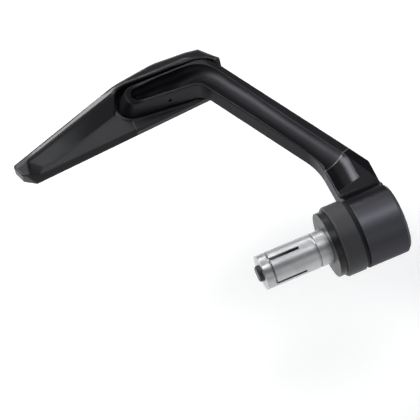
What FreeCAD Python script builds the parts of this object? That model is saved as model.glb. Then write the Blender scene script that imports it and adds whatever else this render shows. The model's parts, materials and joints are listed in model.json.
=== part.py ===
import FreeCAD, Part
import math
import os
from FreeCAD import Vector

# Lever guard for the right-hand end of a motorcycle handlebar, in millimetres.
# X runs outboard along the bar, Y forward and Z up. The origin is on the bar's axis, at its end face.

# Stack of rings on the bar's end, along X
barrel_d = 35.0
barrel_len = 21.2
barrel_end_edge = 1.5
collar_len = 10.0
collar_edge = 0.8
shoulder_step = 1.5
shoulder_len = 3.5
seal_step = 1.25
seal_len = 1.5
register_step = 4.25
spigot_step = 0.5
slip_gap = 0.15
pick_gap = 0.15

# Clamp bolt and its washer
bolt_d = 8.0
bolt_head_d = 13.0
bolt_head_len = 8.0
bolt_hex = 6.0
bolt_hex_depth = 4.5
bolt_edge = 0.6
bolt_hole_gap = 0.25
bolt_tip_len = 2.0
washer_d = 16.0
washer_t = 1.6
head_recess = 1.0
counterbore_gap = 0.4

# Expander that grips the bar's bore
plug_d = 17.0
pilot_len = 6.0
sleeve_len = 22.0
sleeve_bore = 11.4
slot_w = 1.6
slot_len = 15.0
slot_count = 4
cone_rim = 4.0
cone_root_d = 14.4
cone_tip_d = 11.0
cone_len = 8.0
cone_draw = 1.0
cone_gap = 0.05
thread_gap = 0.05

# Arm: its axis leaves the seam, leans inboard, and turns into the foot at the bend
seam_x = 25.4
seam_y = 39.6
arm_lean = 25.8
arm_len = 87.0
arm_w = 15.0
arm_top = 6.0
arm_bottom = -5.0
arm_edge_r = 1.0
bevel_h = 1.8
ridge_seam = 2.8
ridge_bend = 4.0
flare_straight = 0.5
foot_turn = 4.0
foot_len = 47.0
foot_w = 17.0
foot_nose_flat = 0.6
bend_out_r = 14.0
bend_in_r = 8.0

# How far the foot's top is drawn in from its base
nose_in = 5.5
front_in_near = 1.0
front_in_far = 4.4
rear_in = 1.2
nose_top_r = 4.5

# Trough along the top, deep in the foot and shallow in arm and neck, by stations.
# Foot: back from its end, v, wall left each side, depth. Bend: wall, depth. Arm: from the seam, p, wall, depth.
# Neck: out from its inboard side, back from the seam, half width, depth.
foot_trough = ((12.5, -1.4, 4.3, 5.5), (19.0, -1.1, 3.6, 6.6), (27.0, -0.7, 3.1, 7.0), (35.0, -0.4, 2.8, 6.7))
bend_trough = ((1.7, 5.8), (1.6, 4.4), (1.9, 3.2))
arm_trough = ((60.0, -1.6, 2.3, 2.4), (36.0, -2.1, 2.7, 2.2), (18.0, -2.5, 2.5, 2.2), (6.0, -3.0, 2.0, 2.2))
neck_trough = ((6.8, 2.0, 6.3, 2.2), (7.0, 9.6, 6.5, 2.2), (7.1, 16.8, 6.6, 2.2))
neck_turn = 14.0
trough_bend_r = 12.0
trough_step = 7.0
trough_end_turns = (80.0, 60.0, 40.0, 20.0)
loft_degree = 3
neck_rings = 5
drain_d = 1.8
drain_u = 21.0
drain_z = 0.6

# Neck of the mount, and the tenon that carries the arm
neck_in_gap = 0.4
neck_hip = 1.2
neck_corner_r = 3.0
neck_root_r = 6.0
tenon_w = 7.0
tenon_len = 11.0
tenon_low = -2.0
tenon_high = 2.5
tenon_gap = 0.1
joint_screw_d = 5.0
joint_head_d = 9.2
joint_screw_at = 5.5
joint_screw_sink = 0.2
joint_hex = 3.0
joint_hex_depth = 1.6

# Blade heights at the bend, and how much each changes per millimetre along the foot
rim_z = 5.0
rim_fall = -0.039
floor_z = -5.2
floor_rise = 0.037
under_z = -9.0
under_rise = 0.034
bead_w = 1.2
bead_h = 0.7
seat_gap = 0.3
rear_lean = 1.8
rear_lip = 1.0
pad_end_u = 42.0
pad_h = 0.4
pad_bevel = 1.0

# Blade corners: u from the bend (near) or past the foot's end (far), v out from the foot's front or rear side
near_heel = (0.0, 0.5)
far_tail_rear = (50.2, 17.6)
far_tail_low = (56.1, 13.9)
far_tail_point = (59.0, 6.9)
far_tail_front = (48.2, 2.3)
far_peak = (-3.3, 2.6)
near_brow_inner = (23.0, 7.9)
near_brow_outer = (-1.8, 6.9)
near_cheek = ((-8.1, -2.3), (-9.7, -4.1), (-9.3, -9.2))
front_rise = 0.33
tail_rounds = (1.0, 1.2, 1.5, 1.5, 2.5)
front_rounds = (20.0, 20.0, 1.2)
cheek_rounds = (1.5, 2.0, 2.0)
under_edge_r = 0.8

# Ridge of the rim, and the foot of the bevel inside it
near_ridge = ((-7.9, -3.4), (-4.0, -0.9), (0.4, 0.2), (7.7, 1.5), (14.2, 2.1))
far_ridge = ((-8.9, 0.5), (-1.8, -1.2))
tail_ridge = ((43.6, 3.5), (50.8, 6.1), (51.8, 11.5))
near_inner = ((-6.8, -4.1), (-4.2, -2.0), (0.9, -1.2), (8.0, 0.3), (15.4, 0.8))
far_inner = ((-8.9, -0.6), (-0.7, -3.1))
tail_inner = ((43.9, 4.7), (51.2, 7.0), (51.6, 11.5))
tail_crease = ((3.0, -5.5), (36.0, 9.8), (44.5, 11.4), (47.0, 14.0))
rim_bevel = 0.8
wall_draft = 0.4
cut_past = 6.0

# Screws that hold the blade to the foot, from below
blade_screw_d = 4.0
blade_head_d = 7.6
blade_head_h = 2.2
blade_crown = 0.8
blade_hex = 2.5
blade_hex_depth = 1.3
blade_washer_d = 9.0
blade_washer_t = 0.8
blade_screw_gap = 0.25
blade_seat_depth = 0.6
blade_seat_gap = 0.5
blade_thread_skin = 0.7
blade_thread_end = 0.3
blade_screws_u = (21.5, 38.5)

# Places worked out from the sizes above
collar_d = barrel_d
shoulder_d = barrel_d - 2 * shoulder_step
seal_d = barrel_d - 2 * seal_step
register_d = seal_d - 2 * register_step
spigot_d = plug_d + 2 * spigot_step
collar_x = shoulder_len
seal_x = collar_x + collar_len
barrel_x = seal_x + seal_len
barrel_end_x = barrel_x + barrel_len
head_seat_x = barrel_end_x - head_recess - bolt_head_len
counterbore_x = head_seat_x - washer_t
sleeve_x = -pilot_len - cone_draw
nut_x = sleeve_x - sleeve_len - cone_draw
nut_end_x = nut_x - cone_rim
bolt_end_x = nut_end_x - bolt_tip_len
neck_in_x = barrel_x + neck_in_gap
neck_out_x = barrel_end_x
neck_root_y = math.sqrt((barrel_d / 2 + neck_root_r) ** 2 - (arm_top + neck_root_r) ** 2)
pocket_depth = max(station[-1] for station in foot_trough)

lean = math.radians(arm_lean)
turn = math.radians(foot_turn)
hex_sides = 6
full_turn = 360.0
up = Vector(0, 0, 1)
along = Vector(1, 0, 0)
forward = Vector(0, 1, 0)
arm_dir = Vector(-math.sin(lean), math.cos(lean), 0)
arm_out = Vector(math.cos(lean), math.sin(lean), 0)
foot_dir = Vector(-math.cos(turn), math.sin(turn), 0)
foot_front = Vector(math.sin(turn), math.cos(turn), 0)
seam = Vector(seam_x, seam_y, 0)
bend = seam + arm_dir * arm_len
foot_half = foot_w / 2
arm_half = arm_w / 2
thread_top = arm_top - pocket_depth - blade_thread_skin


def at_foot(u, v, z):
    return bend + foot_dir * u + foot_front * v + up * z


def at_arm(s, p, z):
    return seam + arm_dir * s + arm_out * p + up * z


def meet(point_a, dir_a, point_b, dir_b):
    # crossing of two lines in the XY plane
    gap = point_b - point_a
    cross = dir_a.x * dir_b.y - dir_a.y * dir_b.x
    reach = (gap.x * dir_b.y - gap.y * dir_b.x) / cross
    return point_a + dir_a * reach


def corner_arc(before, corner, after, radius):
    # start, middle and end of the arc that rounds one corner
    back = (before - corner).normalize()
    ahead = (after - corner).normalize()
    half = back.getAngle(ahead) / 2
    reach = radius / math.tan(half)
    middle_way = (back + ahead).normalize()
    middle = corner + middle_way * (radius / math.sin(half) - radius)
    return corner + back * reach, middle, corner + ahead * reach


def rounded_edges(corners, radii, closed):
    # straight runs joined by tangent arcs
    count = len(corners)
    edges = []
    pen = None
    first = None
    for i in range(count):
        here = corners[i]
        if radii[i] > 0:
            start, middle, end = corner_arc(corners[i - 1], here, corners[(i + 1) % count], radii[i])
        else:
            start, middle, end = here, None, here
        if pen is not None and pen.distanceToPoint(start) > Part.Precision.confusion():
            edges.append(Part.makeLine(pen, start))
        if middle is not None:
            edges.append(Part.Arc(start, middle, end).toShape())
        if first is None:
            first = start
        pen = end
    if closed and pen.distanceToPoint(first) > Part.Precision.confusion():
        edges.append(Part.makeLine(pen, first))
    return edges


def prism(corners, reach):
    # flat polygon pushed along a vector
    return Part.Face(Part.makePolygon(corners + corners[:1])).extrude(reach)


def rod(diameter, start, end, axis_point=Vector(0, 0, 0), axis=along):
    # round bar between two stations on an axis
    return Part.makeCylinder(diameter / 2, end - start, axis_point + axis * start, axis)


def taper(d_start, d_end, start, end, axis_point=Vector(0, 0, 0), axis=along):
    return Part.makeCone(d_start / 2, d_end / 2, end - start, axis_point + axis * start, axis)


def hex_bar(flats, start, end, axis_point, axis):
    # six-sided bar for a key's socket
    arm = forward * (flats / (2 * math.cos(math.pi / hex_sides)))
    centre = axis_point + axis * start
    turns = [full_turn * i / hex_sides for i in range(hex_sides)]
    corners = [centre + FreeCAD.Rotation(axis, angle).multVec(arm) for angle in turns]
    return prism(corners, axis * (end - start))


def edges_where(shape, test):
    return [edge for edge in shape.Edges if test(edge)]


def flat_at(edge, z):
    # an edge that lies level at one height
    box = edge.BoundBox
    return max(abs(box.ZMin - z), abs(box.ZMax - z)) < Part.Precision.approximation()


def half_space(point, normal, size):
    # block on the side of a plane that its normal points to
    corner = Part.makePlane(size, size, Vector(-size / 2, -size / 2, 0))
    corner.Placement = FreeCAD.Placement(point, FreeCAD.Rotation(up, normal))
    return corner.extrude(normal * size)


def arm_outline(grow, drawn_in):
    # plan of the arm and its foot, run on past the seam, grown all round, or with the foot drawn in (0 to 1)
    half = arm_half + grow
    side = foot_half + grow
    far = foot_len + grow - drawn_in * nose_in
    nose_r = side - foot_nose_flat + drawn_in * (nose_top_r - side + foot_nose_flat)
    seam_in = meet(seam, arm_out, Vector(neck_in_x - grow, 0, 0), forward)
    inner_edge = at_arm(0, -half, 0)
    outer_edge = at_arm(0, half, 0)
    front_near = at_foot(0, side - drawn_in * front_in_near, 0)
    front_far = at_foot(far, side - drawn_in * front_in_far, 0)
    rear_far = at_foot(far, drawn_in * rear_in - side, 0)
    flare = meet(inner_edge, arm_dir, seam_in, forward)
    flare_r = (flare.distanceToPoint(seam_in) - flare_straight) / math.tan(lean / 2)
    corners = [
        outer_edge - arm_dir * arm_w,
        meet(outer_edge, arm_dir, front_near, front_far - front_near),
        front_far,
        rear_far,
        meet(inner_edge, arm_dir, rear_far, foot_dir),
        flare,
        seam_in - forward * arm_w,
    ]
    radii = [0, bend_out_r + grow, nose_r, nose_r, bend_in_r - grow, flare_r, 0]
    return rounded_edges(corners, radii, True)


def trough_ring(centre, way, radius):
    side = up.cross(way).normalize() * radius
    low = Part.Arc(centre + side, centre - up * radius, centre - side).toShape()
    high = Part.Arc(centre - side, centre + up * radius, centre + side).toShape()
    return Part.Wire([low, high])


def trough_stations():
    # place, way, half width and depth along foot, bend, arm and neck, with long gaps filled evenly
    to_bend = foot_dir * -1
    to_seam = arm_dir * -1
    to_barrel = FreeCAD.Rotation(up, neck_turn).multVec(forward * -1)
    stations = []
    for back, v, wall, depth in foot_trough:
        stations.append((at_foot(foot_len - back, v, 0), to_bend, foot_half - wall, depth))
    foot_end = stations[-1][0]
    arm_start = at_arm(arm_trough[0][0], arm_trough[0][1], 0)
    corner = meet(foot_end, foot_dir, arm_start, arm_dir)
    bend_points = corner_arc(foot_end, corner, arm_start, trough_bend_r)
    bend_ways = (to_bend, (to_bend + to_seam).normalize(), to_seam)
    for point, way, (wall, depth) in zip(bend_points, bend_ways, bend_trough):
        stations.append((point, way, arm_half - wall, depth))
    for s, p, wall, depth in arm_trough:
        stations.append((at_arm(s, p, 0), to_seam, arm_half - wall, depth))
    for out, back, half, depth in neck_trough:
        stations.append((Vector(neck_in_x + out, seam_y - back, 0), to_barrel, half, depth))
    filled = [stations[0]]
    for before, after in zip(stations, stations[1:]):
        count = max(1, round(before[0].distanceToPoint(after[0]) / trough_step))
        for i in range(1, count + 1):
            filled.append([start + (end - start) * (i / count) for start, end in zip(before, after)])
    return filled


def trough_tool(stations, end_turns):
    # smooth body through circles whose width and depth are those of each station, with a round start
    rings = []
    for point, way, half, depth in stations:
        radius = (half ** 2 + depth ** 2) / (2 * depth)
        centre = point + up * (arm_top - depth + radius)
        if not rings:
            for angle in map(math.radians, end_turns):
                behind = centre - way * (radius * math.sin(angle))
                rings.append(trough_ring(behind, way, radius * math.cos(angle)))
        rings.append(trough_ring(centre, way, radius))
    return Part.makeLoft(rings, True, False, False, loft_degree)


def tenon_block(grow):
    half = tenon_w / 2 + grow
    far = -tenon_len - grow
    low = tenon_low - grow
    corners = [at_arm(0, half, low), at_arm(far, half, low), at_arm(far, -half, low), at_arm(0, -half, low)]
    return prism(corners, up * (tenon_high - tenon_low + 2 * grow))


def joint_screw_axis():
    return at_arm(-joint_screw_at, 0, 0)


def guard_arm(trough):
    plans = []
    for level, drawn_in in ((arm_bottom, 0), (arm_top, 1)):
        plan = Part.Wire(arm_outline(0, drawn_in))
        plan.translate(up * level)
        plans.append(plan)
    blank = Part.makeLoft(plans, True, True)

    def on_rim(edge):
        # level edges of the outline, apart from its open end
        level = flat_at(edge, arm_top) or flat_at(edge, arm_bottom)
        reach = max((vertex.Point - seam).dot(arm_dir) for vertex in edge.Vertexes)
        return level and reach > -arm_half

    blank = blank.makeFillet(arm_edge_r, edges_where(blank, on_rim))
    blank = blank.cut(half_space(seam, arm_dir * -1, arm_len))
    # outboard bevel, a flat that runs out where the bend turns away from it
    ridge = [at_arm(0, ridge_seam, arm_top), at_arm(arm_len, ridge_bend, arm_top)]
    bevel = plane_cut(ridge + [at_arm(0, arm_half, arm_top - bevel_h)], 2 * arm_len)
    body = blank.cut(bevel).cut(trough)
    body = body.fuse(tenon_block(0)).removeSplitter()
    axis = joint_screw_axis()
    body = body.cut(rod(joint_screw_d + 2 * thread_gap, tenon_low, tenon_high, axis, up))
    for u in blade_screws_u:
        body = body.cut(rod(blade_screw_d + 2 * thread_gap, arm_bottom, thread_top, at_foot(u, 0, 0), up))
    drain = at_foot(drain_u, -foot_w, drain_z)
    return body.cut(rod(drain_d, 0, foot_w, drain, foot_front))


def neck_side_view():
    # the neck from the side: level top and bottom that sweep up and down into the barrel's skin
    skin = barrel_d / 2
    far_y = seam_y + arm_w
    edges = []
    ends = []
    for level, way in ((arm_top, 1), (arm_bottom, -1)):
        centre_z = level + way * neck_root_r
        centre_y = math.sqrt((skin + neck_root_r) ** 2 - centre_z ** 2)
        centre = Vector(0, centre_y, centre_z)
        on_skin = centre * (skin / (skin + neck_root_r))
        on_level = Vector(0, centre_y, level)
        inward = (on_skin + on_level - centre * 2).normalize()
        edges.append(Part.makeLine(Vector(0, 0, on_skin.z), on_skin))
        edges.append(Part.Arc(on_skin, centre + inward * neck_root_r, on_level).toShape())
        edges.append(Part.makeLine(on_level, Vector(0, far_y, level)))
        ends.append(on_skin.z)
    edges.append(Part.makeLine(Vector(0, far_y, arm_top), Vector(0, far_y, arm_bottom)))
    edges.append(Part.makeLine(Vector(0, 0, ends[0]), Vector(0, 0, ends[1])))
    return Part.Face(Part.Wire(Part.__sortEdges__(edges)))


def neck_blank():
    # plan and side view meet, run on past the seam, rounded like the arm and cut off at the seam
    seam_out = at_arm(0, arm_half, 0)
    seam_in = meet(seam, arm_out, Vector(neck_in_x, 0, 0), forward)
    corners = [
        Vector(neck_in_x, 0, 0),
        Vector(neck_out_x, 0, 0),
        Vector(neck_out_x, barrel_d / 2, 0),
        meet(seam_out, arm_dir, Vector(neck_out_x + neck_hip, 0, 0), forward),
        seam_out + arm_dir * arm_w,
        seam_in + forward * arm_w,
    ]
    plan = Part.Face(Part.Wire(rounded_edges(corners, [0, 0, 0, neck_corner_r, 0, 0], True)))
    plan.translate(up * (-barrel_d / 2))
    blank = plan.extrude(up * barrel_d).common(neck_side_view().extrude(along * (neck_out_x + arm_w)))

    def on_side(edge):
        # edges that run along the neck's inboard side, outside the barrel's middle
        way = edge.Vertexes[-1].Point - edge.Vertexes[0].Point
        inboard = edge.BoundBox.XMax < neck_in_x + pick_gap
        return inboard and abs(way.y) > abs(way.z) and edge.CenterOfMass.y > barrel_d / 4

    blank = blank.makeFillet(arm_edge_r, edges_where(blank, on_side))
    return blank.cut(half_space(seam, arm_dir, arm_len))


def bar_end_mount(trough):
    barrel = rod(barrel_d, barrel_x, barrel_end_x)
    end_edges = edges_where(barrel, lambda edge: edge.BoundBox.XLength < Part.Precision.approximation())
    outer = [edge for edge in end_edges if abs(edge.BoundBox.XMax - barrel_end_x) < pick_gap]
    barrel = barrel.makeChamfer(barrel_end_edge, outer)
    # outboard facet that carries on from the arm's bevel and runs out at the barrel's root
    ridge = at_arm(0, ridge_seam, arm_top)
    run_out = Vector(neck_out_x, neck_root_y, arm_top)
    facet = plane_cut([ridge, at_arm(0, arm_half, arm_top - bevel_h), run_out], arm_len)
    neck = neck_blank().cut(facet.common(half_space(run_out, forward, 2 * arm_len)))
    body = barrel.fuse(neck).removeSplitter()
    body = body.fuse(rod(register_d, seal_x, barrel_x)).cut(trough).cut(tenon_block(tenon_gap))
    body = body.cut(rod(bolt_d + 2 * bolt_hole_gap, seal_x, barrel_end_x))
    body = body.cut(rod(washer_d + 2 * counterbore_gap, counterbore_x, barrel_end_x))
    return body.cut(joint_screw_space())


def joint_screw_space():
    # clearance hole and countersink through the neck's underside
    axis = joint_screw_axis()
    hole_d = joint_screw_d + 2 * bolt_hole_gap
    head_d = joint_head_d + 2 * bolt_hole_gap
    top = arm_bottom + joint_screw_sink + (head_d - hole_d) / 2
    hole = rod(hole_d, arm_bottom, tenon_low, axis, up)
    sink = taper(head_d, hole_d, arm_bottom + joint_screw_sink, top, axis, up)
    return hole.fuse([sink, rod(head_d, arm_bottom, arm_bottom + joint_screw_sink, axis, up)])


def joint_screw():
    axis = joint_screw_axis()
    low = arm_bottom + joint_screw_sink
    neck_z = low + (joint_head_d - joint_screw_d) / 2
    head = taper(joint_head_d, joint_screw_d, low, neck_z, axis, up)
    shank = rod(joint_screw_d, neck_z, tenon_high, axis, up)
    return head.fuse(shank).removeSplitter().cut(hex_bar(joint_hex, low, low + joint_hex_depth, axis, up))


def chamfered_ends(shape, size):
    # break both rims of a turned piece
    box = shape.BoundBox
    rims = edges_where(shape, lambda edge: edge.BoundBox.XLength < Part.Precision.approximation()
                       and edge.BoundBox.YLength > box.YLength - size)
    return shape.makeChamfer(size, rims)


def bar_end_collar():
    body = chamfered_ends(rod(collar_d, collar_x, seal_x), collar_edge)
    body = body.fuse(rod(spigot_d, 0, collar_x)).removeSplitter()
    return body.cut(rod(bolt_d + 2 * bolt_hole_gap, 0, seal_x))


def shoulder_washer():
    return rod(shoulder_d, 0, collar_x).cut(rod(spigot_d + 2 * slip_gap, 0, collar_x))


def seal_ring():
    return rod(seal_d, seal_x, barrel_x).cut(rod(register_d + 2 * slip_gap, seal_x, barrel_x))


def clamp_bolt():
    head_end = head_seat_x + bolt_head_len
    head = rod(bolt_head_d, head_seat_x, head_end)
    top = edges_where(head, lambda edge: edge.BoundBox.XMin > head_end - bolt_edge)
    head = head.makeChamfer(bolt_edge, top)
    shank = rod(bolt_d, bolt_end_x, head_seat_x)
    tip = edges_where(shank, lambda edge: edge.BoundBox.XMax < bolt_end_x + bolt_edge)
    shank = shank.makeChamfer(bolt_edge, tip)
    socket = hex_bar(bolt_hex, head_end - bolt_hex_depth, head_end, Vector(0, 0, 0), along)
    return head.fuse(shank).removeSplitter().cut(socket)


def clamp_washer():
    hole = rod(bolt_d + 2 * bolt_hole_gap, counterbore_x, head_seat_x)
    return rod(washer_d, counterbore_x, head_seat_x).cut(hole)


def outer_cone():
    # pilot that centres the guard in the bar, with the cone behind it
    body = rod(plug_d, -pilot_len, 0).fuse(taper(cone_tip_d, cone_root_d, -pilot_len - cone_len, -pilot_len))
    return body.removeSplitter().cut(rod(bolt_d + 2 * bolt_hole_gap, -pilot_len - cone_len, 0))


def cone_nut():
    body = rod(plug_d, nut_end_x, nut_x).fuse(taper(cone_root_d, cone_tip_d, nut_x, nut_x + cone_len))
    return body.removeSplitter().cut(rod(bolt_d + 2 * thread_gap, nut_end_x, nut_x + cone_len))


def expander_sleeve():
    # slotted tube whose mouths match the two cones
    far = sleeve_x - sleeve_len
    grow = 2 * cone_gap
    body = rod(plug_d, far, sleeve_x).cut(rod(sleeve_bore, far, sleeve_x))
    body = body.cut(taper(cone_tip_d + grow, cone_root_d + grow, -pilot_len - cone_len, -pilot_len))
    body = body.cut(taper(cone_root_d + grow, cone_tip_d + grow, nut_x, nut_x + cone_len))
    for i in range(slot_count):
        slot = Part.makeBox(slot_len, plug_d, slot_w, Vector(far, 0, -slot_w / 2))
        slot.rotate(Vector(0, 0, 0), along, full_turn * i / slot_count)
        body = body.cut(slot)
    return body


def near(corner, side):
    # a blade corner placed from the bend, with v from the foot's front (1) or rear (-1) side
    return corner[0], side * (foot_half + corner[1])


def far(corner, side):
    return foot_len + corner[0], side * (foot_half + corner[1])


def rim_height(u):
    return rim_z + rim_fall * u


def floor_height(u):
    return floor_z + floor_rise * u


def under_height(u):
    return under_z + under_rise * u


def plane_cut(points, size):
    # everything above the plane through three points
    normal = (points[1] - points[0]).cross(points[2] - points[0]).normalize()
    if normal.z < 0:
        normal = normal * -1
    return half_space(points[0], normal, size)


def rim_point(corner):
    return at_foot(corner[0], corner[1], rim_height(corner[0]))


def on_underside(edge):
    # both ends and the middle lie on the sloping underside
    points = [vertex.Point for vertex in edge.Vertexes] + [edge.CenterOfMass]
    return all(abs(point.z - under_height((point - bend).dot(foot_dir))) < pick_gap for point in points)


def blade_blank():
    # outline pushed up, then trimmed by the sloping rim, underside, front facets and rear wall
    heel = near(near_heel, -1)
    tail = far(far_tail_rear, -1)
    outline = [heel, tail, far(far_tail_low, -1), far(far_tail_point, -1), far(far_tail_front, -1)]
    outline += [far(far_peak, 1), near(near_brow_inner, 1), near(near_brow_outer, 1)]
    outline += [near(corner, 1) for corner in near_cheek]
    start = min(corner[0] for corner in outline)
    end = max(corner[0] for corner in outline)
    low = under_height(start)
    corners = [at_foot(u, v, low) for u, v in outline]
    plan = Part.Face(Part.Wire(rounded_edges(corners, tail_rounds + front_rounds + cheek_rounds, True)))
    blank = plan.extrude(up * (rim_height(start) - low))
    wide = foot_w + far_tail_rear[1]
    side = [at_foot(start, -wide, low), at_foot(end, -wide, under_height(end))]
    side += [at_foot(end, -wide, rim_height(end)), at_foot(start, -wide, rim_height(start))]
    blank = blank.common(prism(side, foot_front * (2 * wide)))
    blank = blank.makeFillet(under_edge_r, edges_where(blank, on_underside))
    # facets fall forward from the ridge: along the foot, round its bend and along the tail
    size = 2 * (foot_len + far_tail_point[0])
    ridge_near = rim_point(near(near_ridge[-1], 1))
    ridge_far = rim_point(far(far_ridge[0], 1))
    ridge_peak = rim_point(far(far_ridge[1], 1))
    ridge_tail = rim_point(far(tail_ridge[0], -1))
    brow = ridge_near + foot_front - up * front_rise
    blank = blank.cut(plane_cut([ridge_near, ridge_far, brow], size))
    ridge_cheek = rim_point(near(near_ridge[0], 1))
    ridge_bend = rim_point(near(near_ridge[2], 1))
    brow_u, brow_v = near(near_brow_outer, 1)
    brow = at_foot(brow_u, brow_v, ridge_near.z - front_rise * (brow_v - near(near_ridge[-1], 1)[1]))
    blank = blank.cut(plane_cut([ridge_cheek, ridge_bend, brow], size))
    peak_u, peak_v = far(far_peak, 1)
    peak = at_foot(peak_u, peak_v, ridge_far.z - front_rise * (peak_v - far(far_ridge[0], 1)[1]))
    blank = blank.cut(plane_cut([ridge_peak, ridge_tail, peak], size))
    # rear wall leans in from the lower edge to the floor along the tray
    rear_heel = at_foot(heel[0], heel[1], under_height(heel[0]) + rear_lip)
    rear_tail = at_foot(tail[0], tail[1], under_height(tail[0]) + rear_lip)
    inner = at_foot(tail[0], tail[1] + rear_lean, floor_height(tail[0]))
    tray_side = half_space(at_foot(pad_end_u, 0, 0), foot_dir, size)
    blank = blank.cut(plane_cut([rear_heel, rear_tail, inner], size).common(tray_side))
    # beside the foot it only has a bevel on its upper edge
    bevel_heel = at_foot(heel[0], heel[1] + pad_bevel, floor_height(heel[0]) + pad_h)
    bevel_tail = at_foot(tail[0], tail[1] + pad_bevel, floor_height(tail[0]) + pad_h)
    bevel_low = at_foot(heel[0], heel[1], floor_height(heel[0]) + pad_h - pad_bevel)
    return blank.cut(plane_cut([bevel_heel, bevel_tail, bevel_low], size))


def cavity_tool():
    # space inside the rim: upright round the foot, sloping to a crease along the tray, bevelled at the rim
    ridge = [near(corner, 1) for corner in near_ridge] + [far(corner, 1) for corner in far_ridge]
    ridge += [far(corner, -1) for corner in tail_ridge]
    inner = [near(corner, 1) for corner in near_inner] + [far(corner, 1) for corner in far_inner]
    base = [(u, v - wall_draft) for u, v in inner[:-1]]
    inner += [far(corner, -1) for corner in tail_inner]
    base += [far(corner, -1) for corner in tail_crease]
    # the rear is open, and the near side ends under the arm
    behind = -foot_w - far_tail_rear[1]
    for loop in (ridge, inner, base):
        loop += [(loop[-1][0], behind), (loop[0][0], behind)]
    bottom = [at_foot(u, v, floor_height(u)) for u, v in base]
    middle = [rim_point(corner) - up * rim_bevel for corner in inner]
    top = []
    for low, corner in zip(middle, ridge):
        # carry the bevel on past the rim, to one level plane
        way = rim_point(corner) - low
        top.append(low + way * ((cut_past - low.z) / way.z))
    wires = [Part.makePolygon(loop + loop[:1]) for loop in (bottom, middle, top)]
    return Part.makeLoft(wires, True, True)


def foot_column(grow, low):
    # the arm's plan, grown and carried up from one height
    column = Part.Face(Part.Wire(arm_outline(grow, 0))).extrude(up * (cut_past - low))
    column.translate(up * low)
    return column


def guard_blade():
    blank = blade_blank()
    cavity = cavity_tool()
    body = blank.cut(cavity)
    # raised bead round the foot's seat, following floor and wall
    raised = cavity.copy()
    raised.translate(up * bead_h)
    ring = foot_column(seat_gap + bead_w, under_z).cut(foot_column(seat_gap, under_z))
    bead = blank.cut(raised).common(ring)
    # pad behind the foot, a step above the tray
    raised = cavity.copy()
    raised.translate(up * pad_h)
    pad = blank.cut(raised).common(half_space(at_foot(pad_end_u, 0, 0), foot_dir * -1, 2 * foot_len))
    pad = pad.common(half_space(bend, foot_front * -1, 2 * foot_len))
    body = body.fuse([bead, pad]).removeSplitter()
    body = body.cut(foot_column(seat_gap, arm_bottom))
    for u in blade_screws_u:
        axis = at_foot(u, 0, 0)
        seat = blade_seat_height(u)
        body = body.cut(rod(blade_screw_d + 2 * blade_screw_gap, under_z, arm_bottom, axis, up))
        body = body.cut(rod(blade_washer_d + 2 * blade_seat_gap, under_z, seat, axis, up))
    return body


def blade_seat_height(u):
    # level seat for a washer in the sloping underside
    return under_height(u) + blade_seat_depth


def blade_screw(u):
    axis = at_foot(u, 0, 0)
    under_head = blade_seat_height(u) - blade_washer_t
    low = under_head - blade_head_h
    head = rod(blade_head_d, low, under_head, axis, up)
    crown = edges_where(head, lambda edge: flat_at(edge, low))
    head = head.makeChamfer(blade_crown, crown)
    shank = rod(blade_screw_d, under_head, thread_top - blade_thread_end, axis, up)
    return head.fuse(shank).removeSplitter().cut(hex_bar(blade_hex, low, low + blade_hex_depth, axis, up))


def blade_washer(u):
    axis = at_foot(u, 0, 0)
    seat = blade_seat_height(u)
    hole = rod(blade_screw_d + 2 * blade_screw_gap, seat - blade_washer_t, seat, axis, up)
    return rod(blade_washer_d, seat - blade_washer_t, seat, axis, up).cut(hole)


def main():
    os.makedirs("parts", exist_ok=True)
    stations = trough_stations()
    nodes = {
        "guard_arm": guard_arm(trough_tool(stations, trough_end_turns)),
        "bar_end_mount": bar_end_mount(trough_tool(stations[-neck_rings:], ())),
        "bar_end_collar": bar_end_collar(),
        "shoulder_washer": shoulder_washer(),
        "seal_ring": seal_ring(),
        "clamp_bolt": clamp_bolt(),
        "clamp_washer": clamp_washer(),
        "outer_cone": outer_cone(),
        "cone_nut": cone_nut(),
        "expander_sleeve": expander_sleeve(),
        "joint_screw": joint_screw(),
        "guard_blade": guard_blade(),
        "blade_screws": Part.makeCompound([blade_screw(u) for u in blade_screws_u]),
        "blade_washers": Part.makeCompound([blade_washer(u) for u in blade_screws_u]),
    }
    for name, shape in nodes.items():
        print(name, shape.isValid(), len(shape.Solids), round(shape.Volume, 1), shape.BoundBox)
        shape.exportStep("parts/" + name + ".step")


main()
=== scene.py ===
import json
from math import cos, pi, radians, sin

import bpy
from mathutils import Matrix, Vector


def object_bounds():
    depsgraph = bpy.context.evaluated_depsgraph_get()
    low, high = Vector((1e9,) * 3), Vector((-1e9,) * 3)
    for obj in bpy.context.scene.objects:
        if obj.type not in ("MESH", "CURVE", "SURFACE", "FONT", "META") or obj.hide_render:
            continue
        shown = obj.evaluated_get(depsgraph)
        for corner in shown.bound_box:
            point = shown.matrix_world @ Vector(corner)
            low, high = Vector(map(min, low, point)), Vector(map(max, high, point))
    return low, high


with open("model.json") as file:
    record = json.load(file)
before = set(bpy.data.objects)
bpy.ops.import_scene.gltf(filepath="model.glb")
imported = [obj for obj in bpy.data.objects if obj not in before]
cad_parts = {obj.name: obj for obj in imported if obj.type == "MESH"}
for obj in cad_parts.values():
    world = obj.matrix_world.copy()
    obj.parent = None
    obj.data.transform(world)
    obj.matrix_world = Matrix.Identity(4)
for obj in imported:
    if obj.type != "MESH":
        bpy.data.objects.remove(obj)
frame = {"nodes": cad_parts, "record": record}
cadLow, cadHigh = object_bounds()
parts = frame["nodes"]
bpy.ops.object.select_all(action="DESELECT")
print("frame loaded,", len(parts), "nodes")

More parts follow.
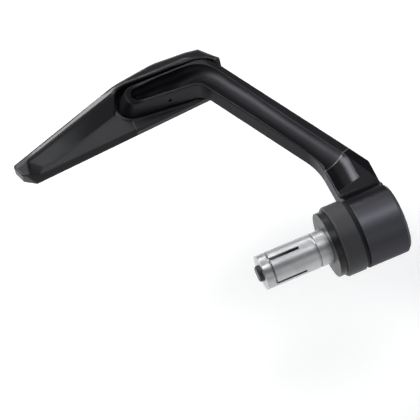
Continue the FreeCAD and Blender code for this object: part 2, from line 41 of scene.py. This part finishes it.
# how fine the textures of every finish are, and between which of their levels they work
texture = {
    "wearDetail": 4.0, "cloudDetail": 5.0, "cloudRough": 0.6, "cloudLow": 0.3, "cloudHigh": 0.7,
    "smearDetail": 6.0, "smearLow": 0.25, "smearHigh": 0.75, "grainDetail": 3.0, "grainRough": 0.55,
    "ringBend": 1.2, "ringDetail": 2.0, "samples": 8,
}
# a mix node's sockets for what lies below, what lies above, and the result
mixSockets = {"RGBA": (6, 7, 2), "FLOAT": (2, 3, 0)}


def addNode(tree, kind, values=None, **settings):
    node = tree.nodes.new(kind)
    for key, value in settings.items():
        setattr(node, key, value)
    for key, value in (values or {}).items():
        node.inputs[key].default_value = value
    return node


def wire(tree, source, output, target, socket):
    tree.links.new(source.outputs[output], target.inputs[socket])


def noise(tree, place, scale, detail, **values):
    cloud = addNode(tree, "ShaderNodeTexNoise", {"Scale": scale, "Detail": detail, **values})
    wire(tree, place, "Object", cloud, "Vector")
    return cloud


def axes(tree, source, output):
    split = addNode(tree, "ShaderNodeSeparateXYZ")
    wire(tree, source, output, split, "Vector")
    return split


# how far a value has come from low to high, given as a number from least to most
def span(tree, source, output, low, high, least=0.0, most=1.0, curve="LINEAR"):
    way = addNode(tree, "ShaderNodeMapRange", {"From Min": low, "From Max": high, "To Min": least, "To Max": most},
                  interpolation_type=curve)
    wire(tree, source, output, way, "Value")
    return way.outputs["Result"]


def combine(tree, operation, first, second):
    both = addNode(tree, "ShaderNodeMath", operation=operation)
    tree.links.new(first, both.inputs[0])
    tree.links.new(second, both.inputs[1])
    return both.outputs[0]


def along(tree, source, output, direction):
    reach = addNode(tree, "ShaderNodeVectorMath", {1: direction}, operation="DOT_PRODUCT")
    wire(tree, source, output, reach, 0)
    return reach


# lays a tone or a roughness over what already feeds the shader, as far as the mask allows
def lay(tree, shader, socket, mask, value):
    kind = "FLOAT" if isinstance(value, float) else "RGBA"
    lower, upper, result = mixSockets[kind]
    below = shader.inputs[socket].links[0].from_socket
    layer = addNode(tree, "ShaderNodeMix", data_type=kind)
    layer.inputs[upper].default_value = value if kind == "FLOAT" else (*value, 1.0)
    tree.links.new(mask, layer.inputs[0])
    tree.links.new(below, layer.inputs[lower])
    tree.links.new(layer.outputs[result], shader.inputs[socket])


def startFinish(name, look):
    finish = bpy.data.materials.new(name)
    finish.use_nodes = True
    tree = finish.node_tree
    shader = tree.nodes["Principled BSDF"]
    shader.inputs["Metallic"].default_value = look["metal"]
    shader.inputs["IOR"].default_value = look["ior"]
    shader.inputs["Specular Tint"].default_value = (*look["edgeTint"], 1.0)
    place = addNode(tree, "ShaderNodeTexCoord")
    return finish, tree, shader, place


# wear shows where little material lies behind the surface, which is along outer edges
def wearMask(tree, place, look):
    thin = addNode(tree, "ShaderNodeAmbientOcclusion", {"Distance": look["wearReach"]},
                   inside=True, only_local=True, samples=texture["samples"])
    edge = span(tree, thin, "AO", look["wearStart"], look["wearFull"])
    patchy = noise(tree, place, look["wearScale"], texture["wearDetail"])
    return combine(tree, "MULTIPLY", edge, patchy.outputs["Fac"])


# tone drifts between two shades, lifted along worn edges
def toneWithWear(tree, place, shader, look):
    cloud = noise(tree, place, look["cloudScale"], texture["cloudDetail"], Roughness=texture["cloudRough"])
    shade = addNode(tree, "ShaderNodeValToRGB")
    stops = shade.color_ramp.elements
    stops[0].position, stops[0].color = texture["cloudLow"], (*look["dark"], 1.0)
    stops[1].position, stops[1].color = texture["cloudHigh"], (*look["light"], 1.0)
    wire(tree, cloud, "Fac", shade, "Fac")
    wire(tree, shade, "Color", shader, "Base Color")
    lay(tree, shader, "Base Color", wearMask(tree, place, look), look["worn"])


def roughWithGrain(tree, place, shader, look):
    smear = noise(tree, place, look["smearScale"], texture["smearDetail"])
    rough = span(tree, smear, "Fac", texture["smearLow"], texture["smearHigh"], look["roughLow"], look["roughHigh"])
    tree.links.new(rough, shader.inputs["Roughness"])
    rounded = addNode(tree, "ShaderNodeBevel", {"Radius": look["edgeRound"]}, samples=texture["samples"])
    grain = noise(tree, place, look["grainScale"], texture["grainDetail"], Roughness=texture["grainRough"])
    bump = addNode(tree, "ShaderNodeBump", {"Strength": look["grainStrength"], "Distance": look["grainDepth"]})
    wire(tree, grain, "Fac", bump, "Height")
    wire(tree, rounded, "Normal", bump, "Normal")
    wire(tree, bump, "Normal", shader, "Normal")
    if "tipRound" in look:
        softEdges(tree, place, rounded, look)
    return bump


# moulded edges are rounder at the tray's tip and along the front ridge than elsewhere
def softEdges(tree, place, rounded, look):
    tip = span(tree, axes(tree, place, "Object"), "X", look["tipFrom"], look["tipTo"],
               look["edgeRound"], look["tipRound"])
    ridge = span(tree, along(tree, place, "Object", look["ridgeAcross"]), "Value", look["ridgeFrom"], look["ridgeTo"],
                 look["edgeRound"], look["ridgeRound"])
    tree.links.new(combine(tree, "MAXIMUM", tip, ridge), rounded.inputs["Radius"])


# turned metal carries fine rings about the bar's axis
def turnedRings(tree, place, bump, look):
    rings = addNode(tree, "ShaderNodeTexWave", {"Scale": look["ringScale"], "Distortion": texture["ringBend"],
                                                "Detail": texture["ringDetail"]},
                    wave_type="BANDS", bands_direction="X")
    cut = addNode(tree, "ShaderNodeBump", {"Strength": look["ringStrength"], "Distance": look["ringDepth"]})
    before = bump.inputs["Normal"].links[0].from_socket
    wire(tree, place, "Object", rings, "Vector")
    wire(tree, rings, "Fac", cut, "Height")
    tree.links.new(before, cut.inputs["Normal"])
    wire(tree, cut, "Normal", bump, "Normal")


# a narrow paler line is laid on both sides of the seam between arm and neck
def seamMask(tree, place, look):
    offset = addNode(tree, "ShaderNodeVectorMath", {1: look["seamAt"]}, operation="SUBTRACT")
    wire(tree, place, "Object", offset, 0)
    across = along(tree, offset, "Vector", look["seamAcross"])
    nearness = addNode(tree, "ShaderNodeMath", operation="ABSOLUTE")
    wire(tree, across, "Value", nearness, 0)
    return span(tree, nearness, 0, look["seamWide"], look["seamCore"])


# the rim's outer facets come smoother from the mould than the tray
def rimMask(tree, place, look):
    facing = addNode(tree, "ShaderNodeNewGeometry")
    front = span(tree, axes(tree, facing, "True Normal"), "Y", look["rimLow"], look["rimHigh"])
    shortOfTip = span(tree, axes(tree, place, "Object"), "X", look["rimEnd"], look["rimStart"])
    return combine(tree, "MULTIPLY", front, shortOfTip)


# the barrel is turned and stays duller and paler than the milled neck; its pale tone is held off towards the neck
# root, a painted shade along the barrel's top there
def barrelToneShadeMask(tree, place, look):
    flatten = addNode(tree, "ShaderNodeVectorMath", {1: (0.0, 1.0, 1.0)}, operation="MULTIPLY")
    fromAxis = addNode(tree, "ShaderNodeVectorMath", operation="LENGTH")
    wire(tree, place, "Object", flatten, 0)
    wire(tree, flatten, "Vector", fromAxis, 0)
    band = span(tree, fromAxis, "Value", look["barrelOuter"], look["barrelInner"], curve="SMOOTHSTEP")
    # painted shade: near the neck root the barrel keeps the darker neck tone
    clear = span(tree, axes(tree, place, "Object"), "Y", look["barrelShadeFull"], look["barrelShadeNone"],
                 curve="SMOOTHSTEP")
    return combine(tree, "MULTIPLY", band, clear)


# painted shade on upward faces within a band along one axis: the deep pocket's floor and the rim of the foot's nose
# are painted darker
def shadeBandMask(tree, place, look, band, axis):
    within = span(tree, axes(tree, place, "Object"), axis, look[band + "From"], look[band + "To"], curve="SMOOTHSTEP")
    facing = addNode(tree, "ShaderNodeNewGeometry")
    upward = span(tree, axes(tree, facing, "Normal"), "Z", look[band + "Lean"], look[band + "Flat"])
    return combine(tree, "MULTIPLY", within, upward)


# walls that face one way are painted by their facing: painted shade on the arm's inboard side and on rear-facing
# faces, a painted reflection on the inboard flank
def paintedLightFacingMask(tree, look, wall):
    facing = addNode(tree, "ShaderNodeNewGeometry")
    toward = along(tree, facing, "Normal", look[wall + "Toward"])
    return span(tree, toward, "Value", look[wall + "Loose"], look[wall + "Square"])


def coat(tree, shader, mask, look, area):
    lay(tree, shader, "Base Color", mask, look[area + "Tone"])
    lay(tree, shader, "Roughness", mask, look[area + "Rough"])


def dress(name, look, turned=False):
    finish, tree, shader, place = startFinish(name, look)
    toneWithWear(tree, place, shader, look)
    bump = roughWithGrain(tree, place, shader, look)
    if turned:
        turnedRings(tree, place, bump, look)
    if "rimRough" in look:
        lay(tree, shader, "Roughness", rimMask(tree, place, look), look["rimRough"])
    # paler barrel tone, with painted shade near the neck root
    if "barrelTone" in look:
        coat(tree, shader, barrelToneShadeMask(tree, place, look), look, "barrel")
    # painted shade on the pocket's floor and on the rim of the foot's nose
    for band, axis in (("pocket", "Z"), ("nose", "X")):
        if band + "Tone" in look:
            coat(tree, shader, shadeBandMask(tree, place, look, band, axis), look, band)
    # painted shade and painted reflection on walls by their facing
    for wall in ("side", "flank", "rear"):
        if wall + "Tone" in look:
            lay(tree, shader, "Base Color", paintedLightFacingMask(tree, look, wall), look[wall + "Tone"])
    if "seamTone" in look:
        lay(tree, shader, "Base Color", seamMask(tree, place, look), look["seamTone"])
    return finish


def wear(piece, finish):
    piece.data.materials.clear()
    piece.data.materials.append(finish)


bladeLook = {
    "metal": 0.0, "ior": 1.41, "edgeTint": (1.0, 1.0, 1.0),
    "dark": (0.0118, 0.0118, 0.0138), "light": (0.0162, 0.0162, 0.0189), "worn": (0.03, 0.03, 0.032),
    "cloudScale": 28.0, "wearReach": 0.0009, "wearScale": 420.0, "wearStart": 0.62, "wearFull": 0.2,
    "smearScale": 60.0, "roughLow": 0.31, "roughHigh": 0.37, "edgeRound": 0.0005,
    "tipFrom": -0.068, "tipTo": -0.085, "tipRound": 0.0016,
    "ridgeAcross": (0.06976, 0.99756, 0.0), "ridgeFrom": 0.1235, "ridgeTo": 0.1243, "ridgeRound": 0.0024,
    "rimLow": 0.06, "rimHigh": 0.12, "rimEnd": -0.111, "rimStart": -0.107, "rimRough": 0.13,
    "grainScale": 2200.0, "grainStrength": 0.10, "grainDepth": 0.00005,
}
armLook = {
    "metal": 0.8, "ior": 1.5, "edgeTint": (0.55, 0.55, 0.57),
    "dark": (0.030, 0.029, 0.033), "light": (0.039, 0.038, 0.043), "worn": (0.12, 0.12, 0.125),
    "cloudScale": 35.0, "wearReach": 0.0008, "wearScale": 500.0, "wearStart": 0.62, "wearFull": 0.2,
    "smearScale": 70.0, "roughLow": 0.41, "roughHigh": 0.47, "edgeRound": 0.0005,
    "grainScale": 4200.0, "grainStrength": 0.10, "grainDepth": 0.00003,
    # painted shade: the deep pocket's floor is painted near black
    "pocketFrom": 0.0046, "pocketTo": 0.0016, "pocketLean": 0.45, "pocketFlat": 0.75,
    "pocketTone": (0.006, 0.006, 0.0066), "pocketRough": 0.5,
    # painted shade: the rim of the foot's nose is painted near black
    "noseFrom": -0.0450, "noseTo": -0.0500, "noseLean": 0.55, "noseFlat": 0.90,
    "noseTone": (0.004, 0.004, 0.0044), "noseRough": 0.42,
    # painted shade: the arm's inboard side is painted darker
    "sideToward": (-0.90, -0.44, 0.0), "sideLoose": 0.80, "sideSquare": 0.95, "sideTone": (0.017, 0.0165, 0.0187),
    # painted reflection: the inboard flank is painted paler, as if catching the pale floor
    "flankToward": (-1.0, 0.0, 0.0), "flankLoose": 0.93, "flankSquare": 0.99, "flankTone": (0.075, 0.075, 0.078),
    "seamAt": (0.0254, 0.0396, 0.0), "seamAcross": (-0.43523, 0.90032, 0.0),
    "seamWide": 0.00036, "seamCore": 0.00018, "seamTone": (0.22, 0.22, 0.23),
}
mountLook = dict(
    armLook, edgeTint=(0.36, 0.36, 0.38), dark=(0.021, 0.0205, 0.0235), light=(0.028, 0.0275, 0.031),
    roughLow=0.22, roughHigh=0.27, ringScale=900.0, ringStrength=0.06, ringDepth=0.00003,
    # pale barrel tone, held off near the neck root as painted shade
    barrelTone=(0.122, 0.123, 0.137), barrelRough=0.42, barrelOuter=0.0188, barrelInner=0.0176,
    # painted reflection: the neck's inboard flank is painted paler
    barrelShadeFull=0.0100, barrelShadeNone=-0.006, flankTone=(0.10, 0.10, 0.104),
    # painted shade: rear-facing faces get a set tone, darkening the barrel's lower rear side
    rearToward=(0.0, -0.94, 0.34), rearLoose=0.75, rearSquare=1.0, rearTone=(0.058, 0.058, 0.065))
# the blade's plastic without what belongs to the blade's own edges
plainLook = {key: value for key, value in bladeLook.items() if not key.startswith(("tip", "ridge", "rim"))}
collarLook = dict(
    plainLook, dark=(0.039, 0.039, 0.0434), light=(0.050, 0.050, 0.0555), worn=(0.09, 0.09, 0.095),
    roughLow=0.46, roughHigh=0.54, ringScale=800.0, ringStrength=0.10, ringDepth=0.00004)
washerLook = dict(
    plainLook, dark=(0.006, 0.006, 0.006), light=(0.010, 0.010, 0.010), worn=(0.02, 0.02, 0.02), edgeRound=0.0004)
sealLook = dict(
    plainLook, dark=(0.005, 0.005, 0.005), light=(0.008, 0.008, 0.008), worn=(0.012, 0.012, 0.012),
    roughLow=0.6, roughHigh=0.75, grainStrength=0.3, edgeRound=0.0003)
oxideLook = {
    "metal": 0.6, "ior": 1.5, "edgeTint": (1.0, 1.0, 1.0),
    "dark": (0.030, 0.030, 0.033), "light": (0.055, 0.055, 0.060), "worn": (0.30, 0.29, 0.28),
    "cloudScale": 180.0, "wearReach": 0.0006, "wearScale": 700.0, "wearStart": 0.6, "wearFull": 0.2,
    "smearScale": 240.0, "roughLow": 0.30, "roughHigh": 0.46, "edgeRound": 0.0002,
    "grainScale": 3600.0, "grainStrength": 0.12, "grainDepth": 0.00003,
}
zincLook = dict(
    oxideLook, metal=1.0, dark=(0.42, 0.42, 0.43), light=(0.54, 0.54, 0.53), worn=(0.66, 0.65, 0.63),
    roughLow=0.26, roughHigh=0.42, ringScale=1500.0, ringStrength=0.05, ringDepth=0.00003)
turnedLook = dict(
    oxideLook, metal=1.0, dark=(0.46, 0.465, 0.475), light=(0.56, 0.565, 0.575), worn=(0.70, 0.70, 0.70),
    roughLow=0.34, roughHigh=0.46, ringScale=1100.0, ringStrength=0.16, ringDepth=0.00005)

finishes = {
    "blade_plastic": dress("moulded black", bladeLook),
    "arm_aluminium": dress("satin black arm", armLook),
    "mount_aluminium": dress("satin black mount", mountLook, turned=True),
    "collar_aluminium": dress("matte black collar", collarLook, turned=True),
    "washer_plastic": dress("washer plastic", washerLook),
    "seal_rubber": dress("seal rubber", sealLook),
    "black_steel": dress("black oxide steel", oxideLook),
    "bright_steel": dress("zinc plated steel", zincLook, turned=True),
    "plain_aluminium": dress("turned aluminium", turnedLook, turned=True),
}
for subpart in frame["record"]["subparts"]:
    wear(parts[subpart["node"]], finishes[subpart["material_slot"]])
print("finishes on,", len(finishes))

stageLook = {"drop": 0.10, "radius": 9.0, "wall": 1.5, "sides": 96, "lidLean": 0.5,
             "white": 0.86, "rough": 0.9, "lift": 0.285}

# floor with a low round wall, so the horizon stays pale from every side: a cylinder without its lid
coveHeight = cadLow.z - stageLook["drop"] + 0.5 * stageLook["wall"]
bpy.ops.mesh.primitive_cylinder_add(vertices=stageLook["sides"], radius=stageLook["radius"],
                                    depth=stageLook["wall"], location=(0.0, 0.0, coveHeight))
floor = bpy.context.object
floor.name = "studio_cove"
bpy.ops.object.mode_set(mode="EDIT")
bpy.ops.mesh.select_all(action="DESELECT")
bpy.ops.object.mode_set(mode="OBJECT")
for face in floor.data.polygons:
    face.select = face.normal.z > stageLook["lidLean"]
bpy.ops.object.mode_set(mode="EDIT")
bpy.ops.mesh.delete(type="FACE")
bpy.ops.mesh.select_all(action="SELECT")
bpy.ops.mesh.flip_normals()
bpy.ops.object.mode_set(mode="OBJECT")
bpy.ops.object.transform_apply(location=True, rotation=True, scale=True)

# the floor's lift to white is seen directly and in reflections, and lights nothing
floorFinish = bpy.data.materials.new("pale floor")
floorFinish.use_nodes = True
floorTree = floorFinish.node_tree
floorShader = floorTree.nodes["Principled BSDF"]
floorShader.inputs["Base Color"].default_value = (stageLook["white"],) * 3 + (1.0,)
floorShader.inputs["Roughness"].default_value = stageLook["rough"]
floorShader.inputs["Emission Color"].default_value = (1.0, 1.0, 1.0, 1.0)
rays = addNode(floorTree, "ShaderNodeLightPath").outputs
seen = combine(floorTree, "MAXIMUM", rays["Is Camera Ray"], rays["Is Glossy Ray"])
mirrored = combine(floorTree, "MAXIMUM", seen, rays["Is Transmission Ray"])
glow = addNode(floorTree, "ShaderNodeMath", {1: stageLook["lift"]}, operation="MULTIPLY")
floorTree.links.new(mirrored, glow.inputs[0])
wire(floorTree, glow, 0, floorShader, "Emission Strength")
floor.data.materials.append(floorFinish)

# turn is in degrees from straight ahead, outboard positive, and rise in degrees above the floor
lamps = [
    {"name": "overhead_strip", "aim": (0.03, -0.09, 0.0), "turn": 85.0, "rise": 82.0, "away": 1.5,
     "size": (0.40, 0.80), "glow": 3.5, "tone": (0.95, 0.975, 1.0)},
    {"name": "left_softbox", "aim": (0.028, 0.035, 0.006), "turn": -49.0, "rise": 45.0, "away": 1.2,
     "size": (0.44, 0.68), "glow": 11.0, "tone": (1.0, 1.0, 1.0)},
    {"name": "front_softbox", "aim": (-0.09, 0.13, 0.0), "turn": 1.0, "rise": 34.0, "away": 1.2,
     "size": (0.60, 0.20), "glow": 10.0, "tone": (1.0, 1.0, 1.0)},
    {"name": "forward_fill", "aim": (-0.04, 0.08, 0.0), "turn": 12.0, "rise": 58.0, "away": 1.8,
     "size": (1.4, 0.9), "glow": 0.6, "tone": (1.0, 1.0, 1.0)},
    {"name": "rear_fill", "aim": (-0.04, 0.08, 0.0), "turn": 172.0, "rise": 24.0, "away": 2.2,
     "size": (2.6, 1.1), "glow": 0.6, "tone": (1.0, 1.0, 1.0)},
]
for lamp in lamps:
    rise, turnBy = radians(lamp["rise"]), radians(lamp["turn"])
    toward = Vector((cos(rise) * sin(turnBy), cos(rise) * cos(turnBy), sin(rise)))
    bpy.ops.object.light_add(type="AREA", location=Vector(lamp["aim"]) + lamp["away"] * toward)
    light = bpy.context.object
    light.name = lamp["name"]
    light.data.shape = "RECTANGLE"
    light.data.size, light.data.size_y = lamp["size"]
    light.data.energy = lamp["glow"] * pi * lamp["size"][0] * lamp["size"][1]
    light.data.color = lamp["tone"]
    light.rotation_euler = (-toward).to_track_quat("-Z", "Y").to_euler()

worldLook = {"tone": (0.95, 0.97, 1.0, 1.0), "strength": 0.16}
world = bpy.data.worlds.new("studio")
world.use_nodes = True
sky = world.node_tree.nodes["Background"]
sky.inputs["Color"].default_value = worldLook["tone"]
sky.inputs["Strength"].default_value = worldLook["strength"]
bpy.context.scene.world = world
bpy.context.scene.view_settings.view_transform = "Standard"
print("stage and lamps set,", len(lamps))

cameraSet = {
    "at": (-0.1715, -0.440908, 0.763675),
    "right": (0.91519706, -0.39213512, -0.09297515),
    "up": (0.37711834, 0.75195087, 0.54069552),
    "look": (0.14211296, 0.52990559, -0.83606457),
    "lens": 163.0927, "sensor": 36.0, "near": 0.05, "far": 40.0,
}
bpy.ops.object.camera_add()
camera = bpy.context.object
camera.data.lens = cameraSet["lens"]
camera.data.sensor_width = cameraSet["sensor"]
camera.data.clip_start = cameraSet["near"]
camera.data.clip_end = cameraSet["far"]
turn = Matrix((cameraSet["right"], cameraSet["up"], -Vector(cameraSet["look"]))).transposed()
camera.matrix_world = Matrix.Translation(cameraSet["at"]) @ turn.to_4x4()
bpy.context.scene.camera = camera
print("camera set")
